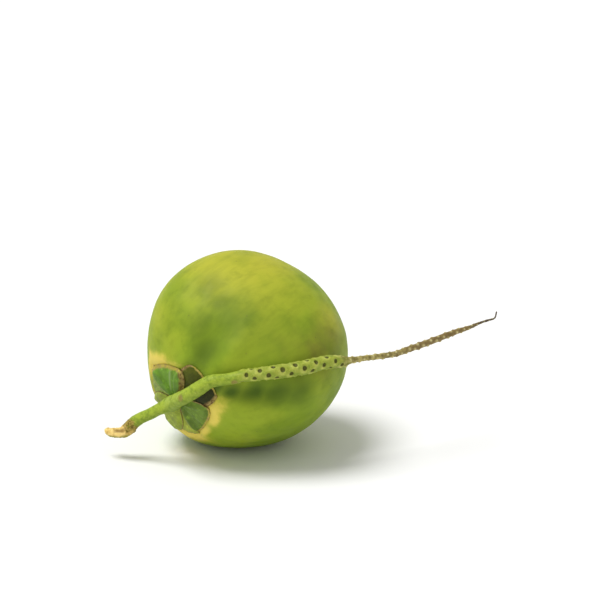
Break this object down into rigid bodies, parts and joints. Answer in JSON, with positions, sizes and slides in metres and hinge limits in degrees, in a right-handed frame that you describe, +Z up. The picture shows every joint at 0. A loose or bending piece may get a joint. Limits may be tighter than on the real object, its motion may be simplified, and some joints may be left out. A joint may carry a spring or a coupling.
{
  "type": "green coconut",
  "caption": "Young green coconut as picked: lobed smooth husk lying on a small flat spot, with its overlapping leathery calyx and the pitted flower stalk across its stem end.",
  "frame": {"origin": "on the small flat spot that the husk rests on, right below the fruit's centre", "axes": "+Z up with the fruit lying on its side; the stem end points along -Y and about 18 degrees down; +Y along the free end of the spikelet"},
  "size_m": [0.1943, 0.2857, 0.1593],
  "materials": {
    "husk_skin": "smooth waxy fruit skin, yellow-green, matte to satin",
    "inner_tepal_skin": "leathery, matte, dry brown margin",
    "outer_tepal_skin": "leathery, matte, dry brown margin",
    "spikelet_skin": "green stalk with dark pits, drying to tan and brown at its thin end"
  },
  "bodies": {
    "root": {"husk": "husk_skin", "inner_tepal_1": "inner_tepal_skin", "inner_tepal_2": "inner_tepal_skin", "inner_tepal_3": "inner_tepal_skin", "outer_tepal_1": "outer_tepal_skin", "outer_tepal_2": "outer_tepal_skin", "outer_tepal_3": "outer_tepal_skin", "spikelet": "spikelet_skin"}
  },
  "joints": []
}
